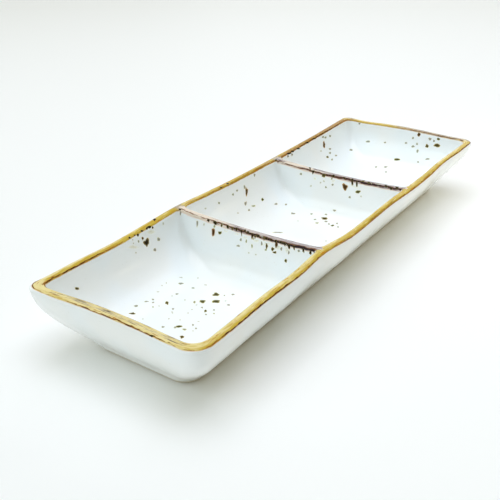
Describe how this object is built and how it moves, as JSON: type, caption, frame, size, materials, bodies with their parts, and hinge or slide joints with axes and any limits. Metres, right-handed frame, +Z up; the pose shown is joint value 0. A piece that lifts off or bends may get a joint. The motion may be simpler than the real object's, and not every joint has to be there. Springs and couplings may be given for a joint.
{
  "type": "divided sauce dish",
  "caption": "Long, low, hand-shaped glazed stoneware dish with square basins in a row for sauces and dips, parted by low dividers under an amber rim.",
  "frame": {"origin": "middle of the foot ring's sole, on the table", "axes": "+X along the dish to its far end, +Y to its left side, +Z up"},
  "size_m": [0.248, 0.0806, 0.0298],
  "materials": {
    "white_glaze": "glossy white glaze with small dark speckles",
    "bare_stoneware": "matte, unglazed on the sole",
    "amber_glaze": "glossy, streaked amber and brown",
    "violet_brown_glaze": "glossy, run violet-brown"
  },
  "bodies": {
    "root": {"dish_shell": "white_glaze", "foot_ring": "bare_stoneware", "near_divider": "white_glaze", "far_divider": "white_glaze", "rim_band": "amber_glaze", "near_divider_crest": "violet_brown_glaze", "far_divider_crest": "violet_brown_glaze"}
  },
  "joints": []
}
